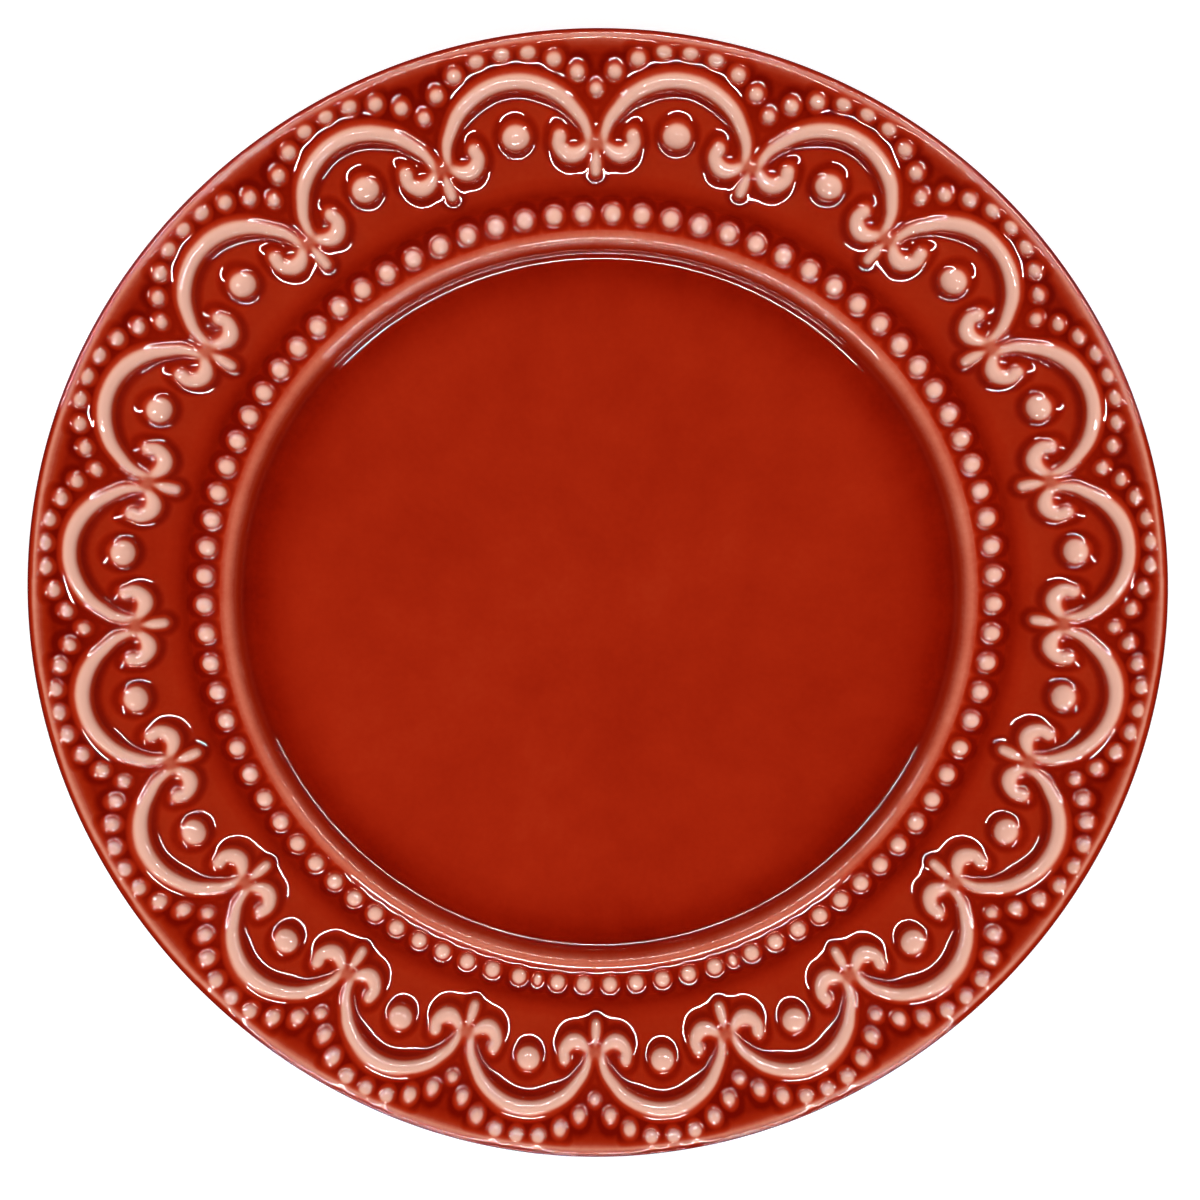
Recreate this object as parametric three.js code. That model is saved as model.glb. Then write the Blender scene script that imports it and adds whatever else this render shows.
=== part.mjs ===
// Round dessert plate in pressed, glazed earthenware.
//
// Millimetres, +Z up. The origin is the centre of the foot ring's contact face, so the plate stands on
// the plane z = 0 and its axis of revolution is +Z.
//
// The plate is one fired body with its glaze coats. Each coat is a solid of its own: the face coat runs from
// the middle of the well, over the rim's edge and back along the underside to the foot ring, and the recess
// coat covers the underside inside the foot ring. The foot ring's contact face is bare fired clay.
// The rim's moulded ornament stands up to 2.2 mm proud of the plain rim surface that is described here.

import * as THREE from 'three';

// ---- driving dimensions -------------------------------------------------------------------------------
const OUTER_R = 105.0;          // outermost radius of the rim
const HEIGHT = 26.7;            // top of the rolled edge above the table
const SEGMENTS = 72;            // facets round the axis
const GLAZE = 0.5;              // glaze coat thickness

const WELL_FLOOR_Z = 7.0;       // top of the well floor
const WELL_FLOOR_R = 68.4;      // flat part of the well floor
const WELL_FILLET_R = 3.0;      // concave fillet between the floor and the well wall
const WALL_ANGLE = 64;          // steepest slope of the well wall, degrees
const LIP_R = 1.7;              // convex rounding of the lip above the wall
const LIP_Z = 11.0;             // top of the lip
const LEDGE_OUT_R = 79.2;       // outer end of the almost level ledge that carries the inner row of beads
const LEDGE_RISE = 0.35;        // rise of the ledge from the lip outwards
const RIM_IN_R = 81.0;          // start of the sloping rim
const RIM_OUT_R = 102.2;        // end of the sloping rim, inside the rolled edge
const RIM_ANGLE_IN = 28;        // slope of the rim at its inner end, degrees
const RIM_ANGLE_OUT = 37;       // slope of the rim at its outer end, degrees
const EDGE_R = 1.25;            // rounding of the rolled edge

const RIM_THICKNESS_IN = 4.8;   // wall thickness of the rim, measured square to its face
const RIM_THICKNESS_OUT = 2.9;
const BASE_UNDER_Z = 2.4;       // underside of the well floor above the table
const SHOULDER_Z = 3.0;         // underside just outside the foot ring

const FOOT_OUT_R = 65.2;        // foot ring, outer side at its root
const FOOT_FACE_OUT_R = 64.0;   // contact face, outer radius
const FOOT_FACE_IN_R = 61.6;    // contact face, inner radius
const FOOT_IN_R = 60.4;         // foot ring, inner side at its root
const GLAZE_LINE_Z = 1.1;       // the glaze stops this far above the table

const deg = (a) => (a * Math.PI) / 180;

// ---- the plate's surface as a profile in (radius, height) ------------------------------------------------
// Surface of the glazed face, from the axis outwards and round the edge to the foot ring.
function faceProfile() {
  const p = [];
  const add = (r, z) => p.push([r, z]);
  add(0, WELL_FLOOR_Z);
  add(WELL_FLOOR_R, WELL_FLOOR_Z);
  // concave fillet from the floor up to the wall
  for (const a of [WALL_ANGLE * 0.36, WALL_ANGLE * 0.7, WALL_ANGLE]) {
    add(WELL_FLOOR_R + WELL_FILLET_R * Math.sin(deg(a)),
      WELL_FLOOR_Z + WELL_FILLET_R * (1 - Math.cos(deg(a))));
  }
  // wall, then the convex lip that ends level at LIP_Z
  const lipDrop = LIP_R * (1 - Math.cos(deg(WALL_ANGLE)));
  const filletTop = WELL_FILLET_R * (1 - Math.cos(deg(WALL_ANGLE)));
  const wallRise = LIP_Z - lipDrop - (WELL_FLOOR_Z + filletTop);
  const wallRun = wallRise / Math.tan(deg(WALL_ANGLE));
  const lipFootR = WELL_FLOOR_R + WELL_FILLET_R * Math.sin(deg(WALL_ANGLE)) + wallRun;
  const lipCentreR = lipFootR + LIP_R * Math.sin(deg(WALL_ANGLE));
  for (const a of [WALL_ANGLE, WALL_ANGLE * 0.6, WALL_ANGLE * 0.2]) {
    add(lipCentreR - LIP_R * Math.sin(deg(a)), LIP_Z - LIP_R * (1 - Math.cos(deg(a))));
  }
  // ledge, then the rim, whose slope grows evenly outwards
  add(LEDGE_OUT_R, LIP_Z + LEDGE_RISE);
  let r = RIM_IN_R;
  let z = LIP_Z + LEDGE_RISE + (RIM_IN_R - LEDGE_OUT_R) * Math.tan(deg(RIM_ANGLE_IN * 0.6));
  add(r, z);
  const steps = 5;
  for (let i = 0; i < steps; i++) {
    const dr = (RIM_OUT_R - RIM_IN_R) / steps;
    const a = RIM_ANGLE_IN + (RIM_ANGLE_OUT - RIM_ANGLE_IN) * ((i + 0.5) / steps);
    r += dr;
    z += dr * Math.tan(deg(a));
    add(r, z);
  }
  // rolled edge: over the top and round to the underside
  const ce = [OUTER_R - EDGE_R, HEIGHT - EDGE_R];
  for (const a of [138, 90, 45, 0, -40]) {
    add(ce[0] + EDGE_R * Math.cos(deg(a)), ce[1] + EDGE_R * Math.sin(deg(a)));
  }
  return p;
}

// Underside, from the rim's edge inwards to the foot ring's outer side.
function undersideProfile(face) {
  const p = [];
  const rim = face.filter(([r]) => r >= RIM_IN_R - 0.01 && r <= RIM_OUT_R + 0.01);
  for (let i = rim.length - 1; i >= 0; i -= 1) {
    if (i === rim.length - 2) continue;
    const [r, z] = rim[i];
    const f = (r - RIM_IN_R) / (RIM_OUT_R - RIM_IN_R);
    const a = deg(RIM_ANGLE_IN + (RIM_ANGLE_OUT - RIM_ANGLE_IN) * f);
    const t = RIM_THICKNESS_IN + (RIM_THICKNESS_OUT - RIM_THICKNESS_IN) * f * f;
    p.push([r + t * Math.sin(a), z - t * Math.cos(a)]);
  }
  p.push([77.5, 5.15]);
  p.push([71.5, 3.35]);
  p.push([66.6, SHOULDER_Z]);
  p.push([FOOT_OUT_R, 2.1]);
  p.push([FOOT_FACE_OUT_R + 0.62, GLAZE_LINE_Z]);
  return p;
}

// Square offset of a profile to its right-hand side, seen along its direction of travel.
function offsetProfile(points, distance) {
  return points.map(([r, z], i) => {
    const a = points[Math.max(i - 1, 0)];
    const b = points[Math.min(i + 1, points.length - 1)];
    const d0 = i > 0 ? unit(r - a[0], z - a[1]) : null;
    const d1 = i < points.length - 1 ? unit(b[0] - r, b[1] - z) : null;
    if (r === 0) return [0, z - distance * Math.sign((d1 || d0)[0])];
    const u = d0 && d1 ? unit(d0[0] + d1[0], d0[1] + d1[1]) : (d0 || d1);
    const mitre = d0 && d1 ? Math.min(1.25, 1 / Math.max(0.5, u[0] * d0[0] + u[1] * d0[1])) : 1;
    return [r + u[1] * distance * mitre, z - u[0] * distance * mitre];
  });
}
function unit(x, y) {
  const l = Math.hypot(x, y);
  return [x / l, y / l];
}

// Solid of revolution from a closed profile, with +Z as its axis.
function revolve(profile) {
  const geometry = new THREE.LatheGeometry(profile.map(([r, z]) => new THREE.Vector2(r, z)), SEGMENTS);
  geometry.rotateX(Math.PI / 2);
  return geometry;
}

// ---- profiles of the three solids ------------------------------------------------------------------------
const face = faceProfile();
const glazeOuter = face.concat(undersideProfile(face));
const clayUnderGlaze = offsetProfile(glazeOuter, GLAZE);
// both surfaces meet in one line where the coat ends on the foot ring
clayUnderGlaze[clayUnderGlaze.length - 1] = glazeOuter[glazeOuter.length - 1].slice();

const footRing = [
  [FOOT_FACE_OUT_R + 0.2, 0.3],
  [FOOT_FACE_OUT_R - 0.2, 0],
  [FOOT_FACE_IN_R + 0.2, 0],
  [FOOT_FACE_IN_R - 0.2, 0.3],
];

const recessOuter = [
  [FOOT_FACE_IN_R - 0.62, GLAZE_LINE_Z],
  [FOOT_IN_R, 2.0],
  [FOOT_IN_R - 1.2, BASE_UNDER_Z],
  [0, BASE_UNDER_Z],
];
const clayUnderRecess = offsetProfile(recessOuter, GLAZE);
clayUnderRecess[0] = recessOuter[0].slice();

const clayProfile = [...clayUnderGlaze, ...footRing, ...clayUnderRecess].reverse();
const faceGlazeProfile = [...clayUnderGlaze, ...glazeOuter.slice(0, -1).reverse()];
const recessGlazeProfile = [...[...recessOuter].reverse(), ...clayUnderRecess.slice(1)];

// ---- the pieces --------------------------------------------------------------------------------------------
const clay = new THREE.MeshStandardMaterial({ color: 0xd9bfa2, roughness: 0.85, metalness: 0 });
const redGlaze = new THREE.MeshStandardMaterial({ color: 0xa01e0f, roughness: 0.08, metalness: 0 });

const plate = new THREE.Group();
function addPiece(name, profile, material) {
  const mesh = new THREE.Mesh(revolve(profile), material);
  mesh.name = name;
  plate.add(mesh);
}

addPiece('clay_body', clayProfile, clay);
addPiece('face_glaze', faceGlazeProfile, redGlaze);
addPiece('foot_recess_glaze', recessGlazeProfile, redGlaze.clone());

export default plate;
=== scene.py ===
# Looks of a round dessert plate in pressed earthenware under a glossy translucent red glaze.
#
# Lengths are worked out in millimetres and go into the meshes in metres. Angles of the ornament run clockwise
# from +Y. One sector of the ornament spans 18 degrees: a fleur line at 0, a boss line at 9, and mirror images
# on both sides of each.

import bpy
import math
import numpy as np
from mathutils import Matrix, Vector


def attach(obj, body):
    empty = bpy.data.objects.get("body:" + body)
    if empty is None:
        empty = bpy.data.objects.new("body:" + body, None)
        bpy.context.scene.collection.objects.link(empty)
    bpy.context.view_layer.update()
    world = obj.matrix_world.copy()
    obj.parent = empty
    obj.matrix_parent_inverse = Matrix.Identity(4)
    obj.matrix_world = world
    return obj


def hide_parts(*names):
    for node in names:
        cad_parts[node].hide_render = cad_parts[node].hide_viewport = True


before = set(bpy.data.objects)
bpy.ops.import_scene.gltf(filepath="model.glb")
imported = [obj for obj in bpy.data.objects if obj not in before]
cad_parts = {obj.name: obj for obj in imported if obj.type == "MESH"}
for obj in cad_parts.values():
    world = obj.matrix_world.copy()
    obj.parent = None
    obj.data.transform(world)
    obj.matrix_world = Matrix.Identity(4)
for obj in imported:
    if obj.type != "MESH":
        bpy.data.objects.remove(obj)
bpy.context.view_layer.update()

DEG = math.pi / 180
MM = 0.001

# ---- plain shape of the plate -----------------------------------------------------------------------------
OUTER_R, HEIGHT, GLAZE = 105.0, 26.7, 0.5
WELL_FLOOR_Z, WELL_FLOOR_R, WELL_FILLET_R = 7.0, 68.4, 3.0
WALL_ANGLE, LIP_R, LIP_Z = 64.0, 1.7, 11.0
LEDGE_OUT_R, LEDGE_RISE = 79.2, 0.35
RIM_IN_R, RIM_OUT_R, RIM_ANGLE_IN, RIM_ANGLE_OUT = 81.0, 102.2, 28.0, 37.0
EDGE_R = 1.25
RIM_THICKNESS_IN, RIM_THICKNESS_OUT = 4.8, 2.9
BASE_UNDER_Z, SHOULDER_Z = 2.4, 3.0
FOOT_OUT_R, FOOT_FACE_OUT_R, FOOT_FACE_IN_R, FOOT_IN_R = 65.2, 64.0, 61.6, 60.4
GLAZE_LINE_Z = 1.1
CREASE_R = 80.1
ROLL_R = 104.1                      # centre of the rolled edge's rounding

# ---- how far the fired ware strays from a true circle ------------------------------------------------------
TURN = -0.899                       # first fleur line, degrees clockwise from +Y
WARP_ANGLE = [0.005, -0.058, 0.362, 0.108, -0.113, -0.102, 0.45, 0.047, -0.089]
WARP_BEADS = [0.063, 0.233, 0.297, -0.279, 0.16, -0.337, 0.061, 0.058, -0.012]
WARP_BOSSES = [-0.078, 0.263, 0.409, -0.246, -0.001, -0.562, 0.069, 0.232, -0.004]
WARP_ARCHES = [-0.177, 0.704, 0.151, -0.407, 0.019, -0.182, 0.021, 0.07, -0.094]
WARP_CREST = [0.104, 0.015, 0.109, 0.304, 0.022, -0.376, 0.008, 0.202, 0.044]
WARP_EDGE = [0.104, -0.275, 0.039, 0.384, 0.022, -0.376, 0.008, 0.202, 0.044]


def harmonics(c, degrees):
    t = np.radians(degrees)
    s = np.full_like(t, c[0])
    for k in range(1, (len(c) - 1) // 2 + 1):
        s = s + c[2 * k - 1] * np.cos(k * t) + c[2 * k] * np.sin(k * t)
    return s


def fired(angle, r):
    """Pattern angle (degrees) and radius (mm) of the true shape -> x, y in mm on the fired plate."""
    t = angle + TURN
    knots = [0, 77.107, 90.545, 98.2, 101.8, 104.0]
    dr = (np.interp(r, knots, [0, 1, 0, 0, 0, 0]) * harmonics(WARP_BEADS, t)
          + np.interp(r, knots, [0, 0, 1, 0.33, 0, 0]) * harmonics(WARP_BOSSES, t)
          + np.interp(r, knots, [0, 0, 0, 1, 0, 0]) * harmonics(WARP_ARCHES, t)
          + np.interp(r, knots, [0, 0, 0, 0.67, 0, 1]) * harmonics(WARP_EDGE, t)
          + np.interp(r, knots, [0, 0, 0, 0, 1, 0]) * harmonics(WARP_CREST, t))
    drag = np.interp(r, [93.0, 95.0, 96.6, 98.9, 100.8, 102.0], [0, 0.05, 0.15, 0.41, 0.54, 0.61])
    a = (t + harmonics(WARP_ANGLE, t) - drag * np.sin(t * DEG)) * DEG
    return (r + dr) * np.sin(a), (r + dr) * np.cos(a)


# ---- profiles in (radius, height) ---------------------------------------------------------------------------
def face_profile():
    p = [(WELL_FLOOR_R - 3, WELL_FLOOR_Z), (WELL_FLOOR_R, WELL_FLOOR_Z)]
    for a in np.linspace(0, WALL_ANGLE, 30)[1:] * DEG:
        p.append((WELL_FLOOR_R + WELL_FILLET_R * math.sin(a), WELL_FLOOR_Z + WELL_FILLET_R * (1 - math.cos(a))))
    w = WALL_ANGLE * DEG
    rise = LIP_Z - LIP_R * (1 - math.cos(w)) - (WELL_FLOOR_Z + WELL_FILLET_R * (1 - math.cos(w)))
    lip_c = WELL_FLOOR_R + WELL_FILLET_R * math.sin(w) + rise / math.tan(w) + LIP_R * math.sin(w)
    for a in np.linspace(WALL_ANGLE, 0, 30) * DEG:
        p.append((lip_c - LIP_R * math.sin(a), LIP_Z - LIP_R * (1 - math.cos(a))))
    lip_end = p[-1][0]
    for r in np.linspace(lip_end, 77.4, 24)[1:]:
        p.append((r, LIP_Z + LEDGE_RISE * (r - lip_end) / (LEDGE_OUT_R - lip_end) - 0.13 * (1 - math.cos(2 * math.pi * (r - lip_end) / (77.4 - lip_end)))))
    r, z = RIM_IN_R, LIP_Z + LEDGE_RISE + (RIM_IN_R - LEDGE_OUT_R) * math.tan(RIM_ANGLE_IN * 0.6 * DEG)
    p.append((CREASE_R, z - (r - CREASE_R) * math.tan(RIM_ANGLE_IN * DEG)))
    p.append((r, z))
    n = 80
    for i in range(75):
        a = RIM_ANGLE_IN + (RIM_ANGLE_OUT - RIM_ANGLE_IN) * (i + 0.5) / n
        r += (RIM_OUT_R - RIM_IN_R) / n
        z += (RIM_OUT_R - RIM_IN_R) / n * math.tan(a * DEG)
        p.append((r, z))
    # the rim runs on into the rolled edge without a step
    r1, z1 = ROLL_R + EDGE_R * math.cos(125 * DEG), HEIGHT - EDGE_R + EDGE_R * math.sin(125 * DEG)
    m0, m1, run = math.tan(a * DEG), math.tan(35 * DEG), r1 - r
    for t in np.linspace(0, 1, 31)[1:-1]:
        p.append((r + t * run, (2 * t ** 3 - 3 * t * t + 1) * z + (t ** 3 - 2 * t * t + t) * m0 * run
                  + (3 * t * t - 2 * t ** 3) * z1 + (t ** 3 - t * t) * m1 * run))
    for a in np.linspace(125, -40, 84) * DEG:
        p.append((ROLL_R + EDGE_R * math.cos(a), HEIGHT - EDGE_R + EDGE_R * math.sin(a)))
    return np.array(p)


def underside_profile(face):
    p = []
    for r in np.linspace(RIM_OUT_R - 1.2, RIM_IN_R, 9):
        z = np.interp(r, face[:, 0][:180], face[:, 1][:180])
        f = (r - RIM_IN_R) / (RIM_OUT_R - RIM_IN_R)
        a = (RIM_ANGLE_IN + (RIM_ANGLE_OUT - RIM_ANGLE_IN) * f) * DEG
        t = RIM_THICKNESS_IN + (RIM_THICKNESS_OUT - RIM_THICKNESS_IN) * f * f
        p.append((r + t * math.sin(a), z - t * math.cos(a)))
    p += [(77.5, 5.15), (71.5, 3.35), (66.6, SHOULDER_Z), (FOOT_OUT_R, 2.1), (FOOT_FACE_OUT_R + 0.62, GLAZE_LINE_Z)]
    return np.array(p)


def resample(p, step):
    d = np.r_[0, np.cumsum(np.hypot(*np.diff(p, axis=0).T))]
    s = np.linspace(0, d[-1], max(2, int(round(d[-1] / step)) + 1))
    return s, np.c_[np.interp(s, d, p[:, 0]), np.interp(s, d, p[:, 1])]


def smooth(p, step, sigma):
    n = int(math.ceil(3 * sigma / step))
    k = np.exp(-0.5 * (np.arange(-n, n + 1) * step / sigma) ** 2)
    k /= k.sum()
    out = p.copy()
    for c in range(p.shape[1]):
        q = np.r_[2 * p[0, c] - p[n:0:-1, c], p[:, c], 2 * p[-1, c] - p[-2:-n - 2:-1, c]]
        out[:, c] = np.convolve(q, k, mode="valid")
    return out


FACE_STEP = 0.05
face_s, face_p = resample(face_profile(), FACE_STEP)
_even = smooth(face_p, FACE_STEP, 0.22)
crease_s = float(np.interp(CREASE_R, face_p[:800, 0], face_s[:800]))        # the ledge meets the rim in a crease
_w = np.clip((np.abs(face_s - crease_s) - 0.1) / 0.6, 0, 1)[:, None]
face_p = _even * _w + face_p * (1 - _w)
tangent = np.gradient(face_p, axis=0)
tangent /= np.hypot(*tangent.T)[:, None]
face_n = np.c_[-tangent[:, 1], tangent[:, 0]]


def at(s):
    """Point and normal of the plain face at arc length s."""
    return (np.interp(s, face_s, face_p[:, 0]), np.interp(s, face_s, face_p[:, 1]),
            np.interp(s, face_s, face_n[:, 0]), np.interp(s, face_s, face_n[:, 1]))


top_i = int(np.argmax(face_p[:, 1]))
out_i = int(np.argmax(face_p[:, 0]))


def s_of_r(r):
    return float(np.interp(r, face_p[:out_i, 0], face_s[:out_i]))


# ---- the ornament of one sector -----------------------------------------------------------------------------
# Rows are (degrees from the fleur line, radius mm, half width mm) in plan.
ARCH = [(9.0, 99.02, 1.02), (7.5, 98.84, 1.04), (6.0, 98.22, 1.06), (4.6, 97.24, 1.06), (3.35, 95.94, 1.04),
        (2.35, 94.34, 0.95), (1.50, 92.75, 0.85), (1.07, 91.35, 0.74), (0.92, 90.45, 0.68), (0.82, 89.60, 0.64)]
CURL = [(0.82, 89.60, 0.64), (1.00, 89.00, 0.70), (1.38, 88.42, 0.84), (1.92, 87.80, 1.06), (2.58, 87.46, 1.25), (3.30, 87.60, 1.31),
        (3.93, 88.28, 1.27), (4.29, 89.30, 1.20), (4.12, 90.40, 1.18)]
PETAL = [(0.0, 88.0, 0.34), (-0.04, 87.1, 0.72), (-0.08, 86.2, 0.97), (-0.10, 85.3, 1.03), (-0.10, 84.6, 0.96)]
BOSS = (9.0, 91.10, 2.45, 1.95)
OUTER_BEADS = [(0.0, 96.85, 1.08, 0.93, 1.15), (1.87, 99.20, 1.23, 0.97, 1.15), (4.08, 101.02, 1.30, 0.96, 1.08), (6.50, 102.22, 1.33, 0.90, 0.95), (9.0, 102.50, 1.33, 0.88, 0.92)]
INNER_BEAD_R = 77.1


def curve_through(points, n=24):
    p = np.asarray(points, float)
    p = np.vstack([2 * p[0] - p[1], p, 2 * p[-1] - p[-2]])
    out = []
    for i in range(1, len(p) - 2):
        t = np.linspace(0, 1, n, endpoint=False)[:, None]
        a, b, c, d = p[i - 1], p[i], p[i + 1], p[i + 2]
        out.append(0.5 * (2 * b + (c - a) * t + (2 * a - 5 * b + 4 * c - d) * t * t + (3 * b - a - 3 * c + d) * t ** 3))
    out.append(p[-2][None])
    return np.vstack(out)


def tube(angle, r, points):
    """Distance outside a tube's edge, negative inside, and the tube's half width at the nearest place."""
    near = np.full(angle.shape, 99.0)
    width = np.ones(angle.shape)
    for a, rc, w in curve_through(points, 12):
        d = np.hypot((angle - a) * DEG * (r + rc) / 2, r - rc) - w
        width = np.where(d < near, w, width)
        near = np.minimum(near, d)
    return near, width


def blur(h, dx, dy, sigma):
    for axis, step in ((1, dx), (0, dy)):
        n = max(1, int(math.ceil(3 * sigma / step)))
        k = np.exp(-0.5 * (np.arange(-n, n + 1) * step / sigma) ** 2)
        k /= k.sum()
        q = np.pad(h, ((0, 0), (n, n)), mode="wrap") if axis else np.pad(h, ((n, n), (0, 0)), mode="edge")
        out = np.zeros_like(h)
        for i, w in enumerate(k):
            out += w * (q[:, i:i + h.shape[1]] if axis else q[i:i + h.shape[0]])
        h = out
    return h


# rim: one sector on a fine grid
SECTOR_R0, SECTOR_DR, SECTOR_COLS = 79.0, 0.08, 360
sector_r = np.arange(SECTOR_R0, 105.01, SECTOR_DR)
_a, _r = np.meshgrid(np.arange(SECTOR_COLS) * 18.0 / SECTOR_COLS, sector_r)

heights, gaps = [], []


def raise_(d, w, top, base, sharp=0.30, reach=2.0, pooled=False):
    """Adds one form to the relief; d is the distance outside its edge, w its half width there, both in mm."""
    u = np.clip(1 + d / w, 0, 1)
    inside = base + sharp + (top - base - sharp) * (1 - u ** 2.7)
    out = np.maximum(d, 0)
    outside = sharp * np.exp(-out / 0.5) + base * (0.4 * np.exp(-out / 1.6) + 0.6 * np.exp(-0.5 * (out / reach) ** 2) if pooled else np.exp(-out / reach))
    heights.append(np.where(d < 0, inside, outside))
    gaps.append(d)


ARCH_ALL = [(a, r, w) for a, r, w in ARCH[::-1]] + [(18 - a, r, w) for a, r, w in ARCH[1:]]
for shift in (-18, 0, 18):
    d, w = tube(_a + shift, _r, ARCH_ALL)
    d -= 0.06
    raise_(d, w, 1.30 + 0.50 * w, 0.95)
for fleur in (0, 18):
    for side in (1, -1):
        d, w = tube(side * (_a - fleur), _r, CURL)
        raise_(d, w, 1.30 + 0.50 * w, 0.95, 0.26, 1.75, True)
    d, w = tube(_a - fleur, _r, PETAL)
    raise_(d, w, 1.20 + 0.50 * w, 0.42, 0.25, 0.75, True)
for _fa in (0, 18):                                      # pooled glaze falls away evenly from the joint, past the petal
    _ramp = 0.29 * 0.35 * np.log1p(np.exp(np.clip((_r - 82.55) / 0.35, -20, 20))) * np.exp(-((_a - _fa) / 2.9) ** 4)
    heights.append(np.minimum(_ramp, 1.65) / (1 + np.exp(np.clip((_r - 89.0) / 0.30, -20, 20))))
for _fa in (-2.32, 2.32, 15.68, 20.32):                  # level glaze in the eye of each volute
    rho = np.hypot((_a - _fa) * DEG * _r, _r - 89.75)
    raise_(rho - 1.15, 1.15 + 0 * rho, 0.70, 0.70, 0.0, 1.0)
    gaps.pop()
rho = np.hypot((_a - BOSS[0]) * DEG * _r, _r - BOSS[1])
t = np.hypot((_a - BOSS[0]) * DEG * _r / BOSS[2], (_r - BOSS[1]) / BOSS[3])
boss_w = rho / np.maximum(t, 1e-6)
raise_(rho - boss_w, np.maximum(boss_w, 1), 2.15, 0.95)
for _ba, _br, _bw, _bh, _bt in OUTER_BEADS:
    for at_a in sorted({_ba, 18 - _ba}):
        x, y = (_a - at_a) * DEG * _r, _r - _br
        rho = np.hypot(x, y)
        w = np.maximum(rho / np.maximum(np.hypot(x / _bw, y / _bh), 1e-6), 0.5)
        raise_(rho - w, w, _bt, 0.20, 0.32, 0.6)


def union(forms, k=6.0):
    return np.log1p(sum(np.expm1(k * f) for f in forms)) / k


_dx, _dy = 18.0 / SECTOR_COLS * DEG * 91.5, SECTOR_DR * 1.19
sector_h = blur(union(heights), _dx, _dy, 0.16)
# where the scrolls of a fleur meet, the relief is a low web and the glaze half covers it
joint = sum(np.exp(-((_a - f_) * DEG * 89.4 / 2.0) ** 2 - ((_r - 89.3) / 1.40) ** 2) for f_ in (0, 18))
sector_h = sector_h * (1 - joint) + 1.55 * joint
_j = 1 - (1 - joint) ** 1.5
sector_gap = blur(np.clip(np.minimum.reduce(gaps), -2, 4) * (1 - _j) + 0.02 * _j, _dx, _dy, 0.10)
_edge = sector_h[int(round((CREASE_R - SECTOR_R0) / SECTOR_DR))]              # the relief dies out smoothly at the crease
sector_h = np.maximum(sector_h - _edge * np.exp(-np.maximum(sector_r - CREASE_R, 0) / 1.5)[:, None], 0)

# ledge: the row of inner beads, all round, on a grid of its own
LEDGE_R0, LEDGE_DR, LEDGE_COLS = 73.0, 0.1, 7200
ledge_r = np.arange(LEDGE_R0, 81.61, LEDGE_DR)
_a, _r = np.meshgrid(np.arange(LEDGE_COLS) * 360.0 / LEDGE_COLS, ledge_r)
n = np.arange(79)
lin = n * 4.12652948 + 192.05
long_run = lin - 1.314 + 2.53 * n / 79 + harmonics(
    [0, 0.033, -1.194, -0.028, -0.283, 0.113, -0.149, -0.038, 0.465, -0.011, -0.42], lin)
short_run = 159.94 + 4.213 * np.arange(7)
beads = [(b, 1.54, 1.57, 1.32) for b in np.r_[long_run, short_run] % 360]
beads += [(156.95, 0.85, 1.15, 0.9), (188.45, 0.85, 1.15, 0.9)]
total = np.zeros_like(_r)
ledge_gap = np.full_like(_r, 4.0)
for i, (ba, wa, wr, hh) in enumerate(beads):
    ba = (ba - TURN) % 360
    c = int(round(ba / 360 * LEDGE_COLS))
    cols = np.arange(c - 105, c + 106)
    da = (cols * 360.0 / LEDGE_COLS - ba) * DEG
    cols %= LEDGE_COLS
    rr = _r[:, :1]
    x, y = da[None, :] * rr, (rr - INNER_BEAD_R) + 0 * da[None, :]
    rho = np.hypot(x, y)
    w = rho / np.maximum(np.hypot(x / wa, y / wr), 1e-6)
    d = rho - w
    u = np.clip(1 + d / w, 0, 1)
    form = np.where(d < 0, 0.50 + (hh - 0.50) * (1 - u ** 2.8), 0.38 * np.exp(-np.maximum(d, 0) / 0.20))
    skirt = np.where(d < 0, 0, 0.12 * np.exp(-np.maximum(d, 0) / 0.40))
    total[:, cols] += np.expm1(6.0 * (form + skirt))
    ledge_gap[:, cols] = np.minimum(ledge_gap[:, cols], d)
_dx, _dy = 360.0 / LEDGE_COLS * DEG * INNER_BEAD_R, LEDGE_DR * 1.02
ledge_h = blur(np.log1p(total) / 6.0, _dx, _dy, 0.11)
ledge_gap = blur(ledge_gap, _dx, _dy, 0.08)

COLS = 3600


def on_rows(grid, r0, dr, r, cols):
    """Rows of a polar grid at the radii r, for COLS columns."""
    if cols == SECTOR_COLS:
        g = np.tile(grid[:, ::SECTOR_COLS * 20 // COLS], (1, 20))
    else:
        g = grid[:, ::LEDGE_COLS // COLS]
    f = np.clip((r - r0) / dr, 0, len(grid) - 1.001)
    i = f.astype(int)
    f = (f - i)[:, None]
    return g[i] * (1 - f) + g[i + 1] * f


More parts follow.
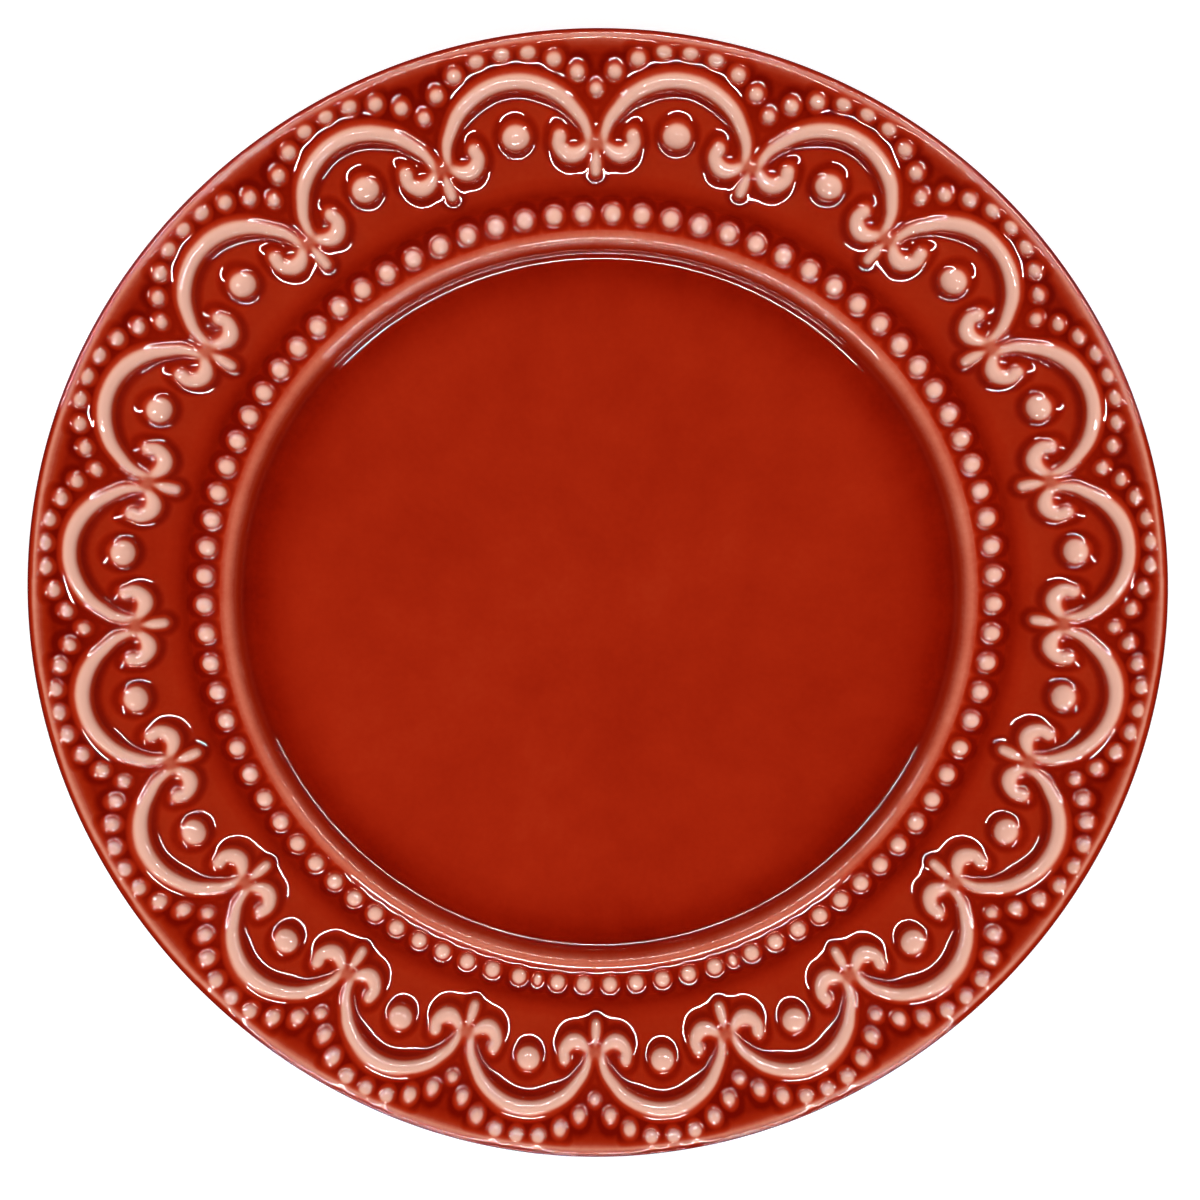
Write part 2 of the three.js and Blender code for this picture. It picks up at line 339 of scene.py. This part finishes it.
# ---- meshes made of rings ------------------------------------------------------------------------------------
class Rings:
    """Closed or open surface of revolution built ring by ring; rings may differ in their number of vertices."""

    def __init__(self):
        self.co, self.faces, self.rings, self.layers = [], [], [], {}
        self.spot = []                  # for each ring's vertices: number of the ring, part of a turn, distance run along the profile
        self.last = None
        self.ring_run = []
        self.count = 0
        self.crease = None

    def add(self, cols, r, z, **layers):
        """One ring of the true shape: r and z are numbers or one value for each column."""
        angle = np.arange(cols) * 360.0 / cols
        x, y = fired(angle, np.broadcast_to(np.asarray(r, float), (cols,)))
        self.co.append(np.c_[x, y, np.broadcast_to(np.asarray(z, float), (cols,))])
        for k in ("depth",):
            self.layers.setdefault(k, []).append(np.broadcast_to(np.asarray(layers.get(k, 0.0), float), (cols,)))
        mean = (float(np.mean(r)), float(np.mean(z)))
        self.ring_run.append(self.ring_run[-1] + math.hypot(mean[0] - self.last[0], mean[1] - self.last[1]) if self.last else mean[0])
        self.last = mean
        self.spot.append(np.c_[np.full(cols, len(self.rings)), angle / 360.0, np.full(cols, self.ring_run[-1])])
        self.rings.append((self.count, cols))
        self.count += cols
        if len(self.rings) > 1:
            self.join(self.rings[-2], self.rings[-1])

    def join(self, a, b):
        (ia, na), (ib, nb) = a, b
        if na == nb:
            j = np.arange(na)
            k = (j + 1) % na
            self.faces += np.c_[ia + j, ib + j, ib + k, ia + k].tolist()
            return
        flip = na > nb
        (ic, nc), (i_f, nf) = ((ib, nb), (ia, na)) if flip else ((ia, na), (ib, nb))
        k = nf // nc
        m = k // 2
        for c in range(nc):
            c0, c1 = ic + c, ic + (c + 1) % nc
            f = [i_f + (c * k + q) % nf for q in range(k + 1)]
            tris = [(c0, f[q], f[q + 1]) for q in range(m)] + [(c0, f[m], c1)] + [(c1, f[q], f[q + 1]) for q in range(m, k)]
            self.faces += [list(x[::-1]) if flip else list(x) for x in tris]

    def centre(self, z, first):
        """Closes the surface on the axis, before the first ring or after the last one."""
        self.co.append(np.array([[0.0, 0.0, z]]))
        for k in self.layers:
            self.layers[k].append(self.layers[k][0 if first else -1][:1])
        i = self.count
        self.count += 1
        self.spot.append(np.array([[0 if first else len(self.rings) - 1, np.nan, 0.0 if first else self.ring_run[-1] + self.last[0]]]))
        start, cols = self.rings[0 if first else -1]
        for j in range(cols):
            a, b = start + j, start + (j + 1) % cols
            self.faces.append([i, a, b] if first else [i, b, a])

    def close(self):
        """Joins the last ring to the first one."""
        self.join(self.rings[-1], self.rings[0])

    def strips(self, me, bands):
        """Lays the rings out as straight strips for baking; bands are (first ring, strips for the turn, v from, v to)."""
        loops = np.empty(len(me.loops), int)
        me.loops.foreach_get("vertex_index", loops)
        first = np.empty(len(me.polygons), int)
        me.polygons.foreach_get("loop_start", first)
        size = np.diff(np.r_[first, len(loops)])
        ring, turn, run = np.vstack(self.spot)[loops].T
        ref = np.repeat(turn[first + 1], size)
        turn = np.where(np.isnan(turn), ref, turn)
        turn = turn + (ref - turn > 0.5) - (turn - ref > 0.5)
        starts = np.array([band[0] for band in bands])
        runs = np.r_[[self.ring_run[k] for k in starts], run.max()]
        runs[0] = run.min()
        which = np.searchsorted(starts, np.minimum.reduceat(ring, first), side="right") - 1
        parts, v0, v1 = np.array([band[1:] for band in bands], float)[which].T
        part = np.floor(np.add.reduceat(turn, first) / size * parts)
        pitch = (v1 - v0) / parts
        u = turn * np.repeat(parts, size) - np.repeat(part, size)
        v = (run - np.repeat(runs[which], size)) / np.repeat(runs[which + 1] - runs[which], size)
        v = np.repeat(v0 + part * pitch, size) + np.clip(v, 0, 1) * np.repeat(pitch - 0.004, size)
        layer = me.uv_layers.new(name="OFBake")
        layer.data.foreach_set("uv", np.c_[0.002 + 0.996 * u, v].astype(np.float32).ravel())

    def build(self, name, bands=None):
        co = np.vstack(self.co) * MM
        me = bpy.data.meshes.new(name)
        me.from_pydata(co.tolist(), [], self.faces)
        me.polygons.foreach_set("use_smooth", [True] * len(me.polygons))
        if self.crease is not None:
            ends = np.empty(len(me.edges) * 2, int)
            me.edges.foreach_get("vertices", ends)
            ends = ends.reshape(-1, 2)
            hard = ((ends >= self.crease) & (ends < self.crease + COLS)).all(axis=1)
            me.attributes.new("sharp_edge", "BOOLEAN", "EDGE").data.foreach_set("value", hard)
        for k, v in self.layers.items():
            at_ = me.attributes.new(k, "FLOAT", "POINT")
            at_.data.foreach_set("value", np.concatenate(v).astype(np.float32))
        me.update()
        if bands:
            self.strips(me, bands)
        ob = bpy.data.objects.new(name, me)
        bpy.context.scene.collection.objects.link(ob)
        return ob


def glaze_depth_and_edge_shade(r):
    """How deep the glaze lies on the plain surface: 0 thin, about 0.6 usual, 1 where it has run together. From 104 mm
    outwards the rise to 0.96 is not deeper glaze but painted shade on the turned-down outer side of the rolled edge.
    """
    return np.interp(r, [0, 40, 58, 62, 64, 66, 68, 70.3, 71.0, 71.5, 72.0, 72.6, 73.1, 73.6, 74.1, 74.6, 75.2, 77, 78.6, 79.6, 81.0, 82.4, 84, 95,
                         98, 99.5, 101.2, 102.2, 102.7, 103.1, 103.4, 103.7, 103.95, 104.25, 104.65, 105.2],
                     [0.66, 0.66, 0.67, 0.71, 0.77, 0.85, 0.92, 0.93, 0.76, 0.47, 0.40, 0.36, 0.36, 0.41, 0.45, 0.54, 0.62, 0.70, 0.80, 0.90, 0.88,
                      0.70, 0.60, 0.60, 0.68, 0.80, 0.84, 0.60, 0.45, 0.35, 0.29, 0.32, 0.50, 0.80, 0.92, 0.96])


def near_form(depth, gap):
    """The glaze runs off a form and gathers round its foot."""
    pooled = depth + np.interp(gap, [0.5, 0.9, 1.4, 2.2], [0.20, 0.28, 0.26, 0.0]) * np.clip((depth - 0.3) / 0.25, 0, 1) * np.clip((1.3 - depth) / 0.7, 0, 1)
    return np.minimum(pooled, np.interp(gap, [-0.60, -0.30, -0.08, 0.10, 0.3, 0.55, 0.9], [0.04, 0.14, 0.30, 0.46, 0.58, 0.70, 1.0]))


face_tail = underside_profile(face_profile())
_, under = resample(np.vstack([face_p[-1], face_tail]), 0.4)
under = smooth(under, 0.4, 1.0)

g = Rings()
g.add(48, 4, WELL_FLOOR_Z, depth=glaze_depth_and_edge_shade(4))
g.centre(WELL_FLOOR_Z, True)
for r in list(np.arange(12, 65, 4.0)) + [66.2]:
    g.add(240, r, WELL_FLOOR_Z, depth=glaze_depth_and_edge_shade(r))
wall_ring = len(g.rings) - 1
s_rows = list(np.arange(s_of_r(67.5), s_of_r(74.2), 0.25))
for s in s_rows:
    r, z, _, _ = at(s)
    g.add(1200, r, z, depth=glaze_depth_and_edge_shade(r))
s0, s1 = s_of_r(74.4), face_s[out_i]
rows = np.r_[np.linspace(s0, crease_s, int(round((crease_s - s0) / 0.18)) + 1)[:-1], np.linspace(crease_s, s1, int(round((s1 - crease_s) / 0.20)) + 1)]
R, Z, NR, NZ = at(rows)
_, _, NR, NZ = at(np.where((rows > s_of_r(101.3)), s_of_r(101.3), rows))     # ornament beside the roll rises square to the rim
top_s = face_s[top_i]
in_ledge = (R < 81.3)
h = on_rows(ledge_h, LEDGE_R0, LEDGE_DR, R, LEDGE_COLS) * np.clip((81.3 - R) / 0.3, 0, 1)[:, None] * in_ledge[:, None]
gap = np.where(in_ledge[:, None], on_rows(ledge_gap, LEDGE_R0, LEDGE_DR, R, LEDGE_COLS), 4.0)
fade = np.clip((top_s + 0.1 - rows) / 0.9, 0, 1)[:, None] * np.clip((R - 79.3) / 0.5, 0, 1)[:, None]
h = h + on_rows(sector_h, SECTOR_R0, SECTOR_DR, R, SECTOR_COLS) * fade
gap = np.minimum(gap, np.where(R[:, None] > 79.5, on_rows(sector_gap, SECTOR_R0, SECTOR_DR, R, SECTOR_COLS), 4.0))
gap[rows > top_s + 0.2] = 4.0
rim_ring = len(g.rings)
_facing = np.cos((np.arange(COLS) * 360.0 / COLS + TURN) * DEG)
for i, s in enumerate(rows):
    if s == crease_s:
        g.crease = g.count
    drift = (0.05 + 0.28 * _facing) * np.clip((R[i] - 102.6) / 0.8, 0, 1) + 0.22 * np.clip((R[i] - 101) / 2.4, 0, 1)         # the thin band of the roll lies a little further out on one side
    g.add(COLS, R[i] + h[i] * NR[i], Z[i] + h[i] * NZ[i], depth=near_form(glaze_depth_and_edge_shade(R[i] - drift), gap[i]))
back_ring = len(g.rings) - 1
for s in np.linspace(s1, face_s[-1], 5)[1:]:
    r, z, _, _ = at(s)
    g.add(1200, r, z, depth=0.62)
for r, z in under[2::4]:
    g.add(240, r, z, depth=0.66)
g.add(240, FOOT_FACE_OUT_R + 0.62, GLAZE_LINE_Z, depth=0.5)
inner_ring = len(g.rings) - 1


def offset(p, d):
    t = np.gradient(p, axis=0)
    t /= np.maximum(np.hypot(*t.T), 1e-9)[:, None]
    return p + np.c_[t[:, 1], -t[:, 0]] * d


_full = np.vstack([[[0.0, WELL_FLOOR_Z], [30, WELL_FLOOR_Z], [55, WELL_FLOOR_Z]], face_p[20:], under[2:]])
_, _full = resample(_full, 0.5)
clay_line = offset(smooth(_full, 0.5, 0.5), GLAZE)
clay_line = clay_line[clay_line[:, 0] > 6]
_cut = np.argmin(np.hypot(clay_line[:, 0] - (FOOT_FACE_OUT_R + 0.4), clay_line[:, 1] - GLAZE_LINE_Z - 0.3) + 50 * (clay_line[:, 1] > 4))
clay_line = clay_line[:_cut - 1]
clay_rows = [tuple(q) for q in clay_line[::2]]
for r, z in clay_rows[::-1]:
    g.add(240, r, z)
g.centre(WELL_FLOOR_Z - GLAZE, False)
face_glaze = g.build("glaze_face", [(0, 1, 0.872, 0.908), (wall_ring, 1, 0.910, 0.959), (rim_ring - 1, 4, 0.0, 0.870),
                                    (back_ring, 1, 0.961, 0.988), (inner_ring, 1, 0.990, 0.998)])

# clay body: the same line under the glaze, then the bare foot ring and the recess
b = Rings()
for i, (r, z) in enumerate(clay_rows):
    b.add(240, r, z)
    if i == 0:
        b.centre(WELL_FLOOR_Z - GLAZE, True)
foot = [(64.62, 1.1), (64.52, 0.75), (64.40, 0.42), (64.22, 0.16), (63.98, 0.03), (63.75, 0.0), (62.7, 0.0), (61.85, 0.0),
        (61.62, 0.03), (61.38, 0.16), (61.20, 0.42), (61.08, 0.75), (60.98, 1.1)]
recess_in = [(60.49, 1.16), (60.1, 2.0), (59.7, 2.55), (59.0, 2.88), (57.5, 2.9), (40, 2.9), (20, 2.9)]
for r, z in foot + recess_in:
    b.add(240, r, z)
b.centre(2.9, False)
clay_body = b.build("clay_body_visual")

# recess glaze
u = Rings()
u.add(240, 20, 2.9)
u.centre(2.9, True)
for r, z in recess_in[-2::-1] + [(60.98, 1.1), (60.80, 1.45), (60.58, 1.8), (60.30, 2.08), (59.9, 2.28), (59.4, 2.38), (58.8, 2.4), (50, 2.4),
                                 (40, 2.4), (30, 2.4), (20, 2.4), (10, 2.4)]:
    u.add(240, r, z, depth=0.66 if r < 59 else (0.85 if r < 60.3 else (0.6 if r < 60.9 else 0.45)))
u.centre(2.4, False)
recess_glaze = u.build("glaze_foot_recess")


# ---- materials -----------------------------------------------------------------------------------------------
def lin(r, g_, b_):
    def f(v):
        v /= 255
        return v / 12.92 if v <= 0.04045 else ((v + 0.055) / 1.055) ** 2.4
    return (f(r), f(g_), f(b_), 1.0)


def material(name):
    m = bpy.data.materials.new(name)
    m.use_nodes = True
    nt = m.node_tree
    return m, nt, nt.nodes["Principled BSDF"]


def node(nt, kind, **values):
    n_ = nt.nodes.new(kind)
    for k, v in values.items():
        if k in n_.inputs.keys():
            n_.inputs[k].default_value = v
        else:
            setattr(n_, k, v)
    return n_


def noise(nt, coords, scale, detail=2.0, rough=0.5, distortion=0.0):
    n_ = node(nt, "ShaderNodeTexNoise", Scale=scale, Detail=detail, Roughness=rough, Distortion=distortion)
    nt.links.new(coords, n_.inputs["Vector"])
    return n_.outputs["Fac"]


def math_(nt, op, a, b_=None, clamp=False):
    n_ = node(nt, "ShaderNodeMath", operation=op, use_clamp=clamp)
    for i_, v in enumerate((a, b_)):
        if v is None:
            continue
        if isinstance(v, (int, float)):
            n_.inputs[i_].default_value = v
        else:
            nt.links.new(v, n_.inputs[i_])
    return n_.outputs[0]


def ramp(nt, fac, stops, kind="LINEAR"):
    n_ = node(nt, "ShaderNodeValToRGB")
    n_.color_ramp.interpolation = kind
    while len(n_.color_ramp.elements) > 1:
        n_.color_ramp.elements.remove(n_.color_ramp.elements[-1])
    for i_, (pos, col) in enumerate(stops):
        e = n_.color_ramp.elements[0] if i_ == 0 else n_.color_ramp.elements.new(pos)
        e.position = pos
        e.color = col
    nt.links.new(fac, n_.inputs["Fac"])
    return n_.outputs["Color"]


def mix(nt, fac, a, b_):
    n_ = node(nt, "ShaderNodeMix", data_type="RGBA")
    for sock, v in ((n_.inputs[0], fac), (n_.inputs[6], a), (n_.inputs[7], b_)):
        if isinstance(v, (int, float, tuple)):
            sock.default_value = v
        else:
            nt.links.new(v, sock)
    return n_.outputs[2]


# colour of the glaze over the clay by how deep it lies; the dark end of the ramp also paints the shade on the outer
# side of the rolled edge
GLAZE_COLOURS = [(0.0, (247, 193, 173)), (0.12, (242, 183, 161)), (0.25, (230, 152, 128)), (0.36, (207, 106, 81)), (0.46, (183, 63, 39)),
                 (0.56, (174, 45, 18)), (0.64, (168, 37, 12)), (0.78, (153, 28, 7)), (0.90, (138, 20, 3)), (1.0, (118, 12, 2))]


def glaze_material(name, wave=0.02):
    m, nt, bsdf = material(name)
    obj = node(nt, "ShaderNodeTexCoord").outputs["Object"]
    depth_ = node(nt, "ShaderNodeAttribute", attribute_name="depth").outputs["Fac"]
    broad = noise(nt, obj, 28, 3, 0.55)
    cloud = noise(nt, obj, 110, 3, 0.6)
    fine = noise(nt, obj, 900, 2, 0.6)
    # how deep the glaze lies, with painted shade on the outer side of the rolled edge, clouded where it is thick
    uneven = math_(nt, "MULTIPLY", math_(nt, "SUBTRACT", broad, 0.5), 0.20)
    uneven = math_(nt, "ADD", uneven, math_(nt, "MULTIPLY", math_(nt, "SUBTRACT", cloud, 0.5), 0.12))
    uneven = math_(nt, "ADD", uneven, math_(nt, "MULTIPLY", math_(nt, "SUBTRACT", fine, 0.5), 0.10))
    uneven = math_(nt, "MULTIPLY", uneven, math_(nt, "MULTIPLY", depth_, 1.5, clamp=True))
    depth = math_(nt, "ADD", depth_, uneven, clamp=True)
    col = ramp(nt, depth, [(p_, lin(*c_)) for p_, c_ in GLAZE_COLOURS])
    nt.links.new(col, bsdf.inputs["Base Color"])
    rough = ramp(nt, cloud, [(0.3, (0.012, 0.012, 0.012, 1)), (0.7, (0.024, 0.024, 0.024, 1))])
    nt.links.new(rough, bsdf.inputs["Roughness"])
    bsdf.inputs["IOR"].default_value = 1.5
    bump = node(nt, "ShaderNodeBump", Strength=wave, Distance=0.001)
    nt.links.new(noise(nt, obj, 260, 2, 0.5), bump.inputs["Height"])
    nt.links.new(bump.outputs["Normal"], bsdf.inputs["Normal"])
    return m


def clay_material(name):
    m, nt, bsdf = material(name)
    obj = node(nt, "ShaderNodeTexCoord").outputs["Object"]
    cloud = noise(nt, obj, 90, 4, 0.6)
    grain = noise(nt, obj, 2600, 2, 0.7)
    specks = noise(nt, obj, 700, 2, 0.5)
    col = ramp(nt, cloud, [(0.3, lin(206, 178, 146)), (0.7, lin(224, 201, 172))])
    dark = ramp(nt, specks, [(0.66, (0, 0, 0, 1)), (0.74, (1, 1, 1, 1))])
    col = mix(nt, math_(nt, "MULTIPLY", dark, 0.5), col, lin(150, 112, 84))
    nt.links.new(col, bsdf.inputs["Base Color"])
    nt.links.new(ramp(nt, grain, [(0.3, (0.72, 0.72, 0.72, 1)), (0.7, (0.92, 0.92, 0.92, 1))]), bsdf.inputs["Roughness"])
    bump = node(nt, "ShaderNodeBump", Strength=0.35, Distance=0.0002)
    nt.links.new(grain, bump.inputs["Height"])
    nt.links.new(bump.outputs["Normal"], bsdf.inputs["Normal"])
    return m


face_glaze.data.materials.append(glaze_material("red_glaze_face"))
recess_glaze.data.materials.append(glaze_material("red_glaze_recess"))
clay_body.data.materials.append(clay_material("bare_clay"))

for piece, cad_node, slot in ((face_glaze, "face_glaze", "red_glaze"), (recess_glaze, "foot_recess_glaze", "red_glaze_underside"),
                              (clay_body, "clay_body", "fired_clay")):
    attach(piece, "root")
    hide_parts(cad_node)

# ---- floor, lights, camera -------------------------------------------------------------------------------------
floor_me = bpy.data.meshes.new("floor")
floor_me.from_pydata([(-3, -3, 0), (3, -3, 0), (3, 3, 0), (-3, 3, 0)], [], [(0, 1, 2, 3)])
floor = bpy.data.objects.new("floor", floor_me)
bpy.context.scene.collection.objects.link(floor)
fm, fnt, fb = material("pale_floor")
fb.inputs["Base Color"].default_value = (0.9, 0.9, 0.9, 1)
fb.inputs["Roughness"].default_value = 0.9
fb.inputs["Specular IOR Level"].default_value = 0.0
fb.inputs["Emission Color"].default_value = (1, 1, 1, 1)
fb.inputs["Emission Strength"].default_value = 0.35
floor_me.materials.append(fm)
floor.visible_glossy = False


def area(name, azimuth, zenith, distance, size, power, size_y=None, target=(0, 0, 0.015), color=(1, 1, 1)):
    """Area light; azimuth clockwise from +Y, zenith angle from +Z, both in degrees."""
    d = bpy.data.lights.new(name, "AREA")
    d.energy = power
    d.color = color
    d.shape = "RECTANGLE" if size_y else "SQUARE"
    d.size = size
    if size_y:
        d.size_y = size_y
    o = bpy.data.objects.new(name, d)
    a, z = azimuth * DEG, zenith * DEG
    o.location = Vector(target) + distance * Vector((math.sin(z) * math.sin(a), math.sin(z) * math.cos(a), math.cos(z)))
    o.rotation_euler = (Vector(target) - o.location).to_track_quat("-Z", "Y").to_euler()
    bpy.context.scene.collection.objects.link(o)
    return o


soft = area("soft_overhead", 0, 0, 1.5, 3.2, 54)
soft.visible_glossy = False


def tube_light(name, points, height, width, strength):
    """Thin bent strip light above the plate, seen only as a reflection; points are x, y in metres."""
    p = np.array(points, float)
    k = np.linspace(0, len(p) - 1, 8 * (len(p) - 1) + 1)
    p = np.c_[np.interp(k, np.arange(len(p)), p[:, 0]), np.interp(k, np.arange(len(p)), p[:, 1])]
    p = smooth(p, 1.0, 4.0)
    t_ = np.gradient(p, axis=0)
    t_ /= np.hypot(*t_.T)[:, None]
    side = np.c_[-t_[:, 1], t_[:, 0]] * width / 2
    lo, hi = p - side, p + side
    co = [(x, y, height) for x, y in lo] + [(x, y, height) for x, y in hi]
    m_ = len(p)
    me = bpy.data.meshes.new(name)
    me.from_pydata(co, [], [(i_, i_ + 1, m_ + i_ + 1, m_ + i_) for i_ in range(m_ - 1)])
    mat_, nt_, b_ = material(name)
    b_.inputs["Base Color"].default_value = (0, 0, 0, 1)
    b_.inputs["Emission Color"].default_value = (1, 1, 1, 1)
    b_.inputs["Emission Strength"].default_value = strength
    me.materials.append(mat_)
    o = bpy.data.objects.new(name, me)
    bpy.context.scene.collection.objects.link(o)
    o.visible_camera = o.visible_diffuse = o.visible_shadow = False
    return o


tube_light("tube_back", [(-0.95, 0.20), (-0.70, 0.42), (-0.35, 0.58), (0, 0.635), (0.35, 0.58), (0.70, 0.42), (0.95, 0.20)], 0.62, 0.017, 200)
tube_light("tube_front", [(-1.02, -1.71), (-0.55, -1.85), (0, -1.90), (0.55, -1.85), (1.02, -1.71)], 3.0, 0.06, 220)
tube_light("tube_low", [(-0.5, -0.81), (-0.25, -0.89), (0.05, -0.92), (0.35, -0.89), (0.6, -0.79)], 0.30, 0.023, 220)

world = bpy.data.worlds.new("studio")
world.use_nodes = True
wnt = world.node_tree
bg = wnt.nodes["Background"]
wc = node(wnt, "ShaderNodeTexCoord").outputs["Generated"]
sep = node(wnt, "ShaderNodeSeparateXYZ")
wnt.links.new(wc, sep.inputs[0])
sky = ramp(wnt, sep.outputs["Z"], [(0.0, (0.045, 0.035, 0.038, 1)), (0.35, (0.025, 0.025, 0.025, 1)), (0.60, (0.0, 0.0, 0.0, 1)), (1.0, (0.0, 0.0, 0.0, 1))])
wnt.links.new(sky, bg.inputs["Color"])
bg.inputs["Strength"].default_value = 1.0
bpy.context.scene.world = world
bpy.context.scene.view_settings.view_transform = "Standard"

RX, RZ = 0.170935988, -0.0148142053
TX, TY, D = -0.00475692574, -0.0175577559, 2.40093458
rot_x = Matrix(((1, 0, 0), (0, math.cos(RX), -math.sin(RX)), (0, math.sin(RX), math.cos(RX))))
rot_z = Matrix(((math.cos(RZ), -math.sin(RZ), 0), (math.sin(RZ), math.cos(RZ), 0), (0, 0, 1)))
to_world = (rot_z @ rot_x).transposed()
cam_data = bpy.data.cameras.new("camera")
cam_data.sensor_fit = "HORIZONTAL"
cam_data.sensor_width = 36
cam_data.lens = 36 * 1224.28 / 1200
cam_data.clip_start = 0.01
cam = bpy.data.objects.new("camera", cam_data)
cam.matrix_world = Matrix.Translation(to_world @ Vector((-TX, -TY, D)) * (OUTER_R * MM)) @ to_world.to_4x4()
bpy.context.scene.collection.objects.link(cam)
bpy.context.scene.camera = cam

bpy.context.view_layer.update()
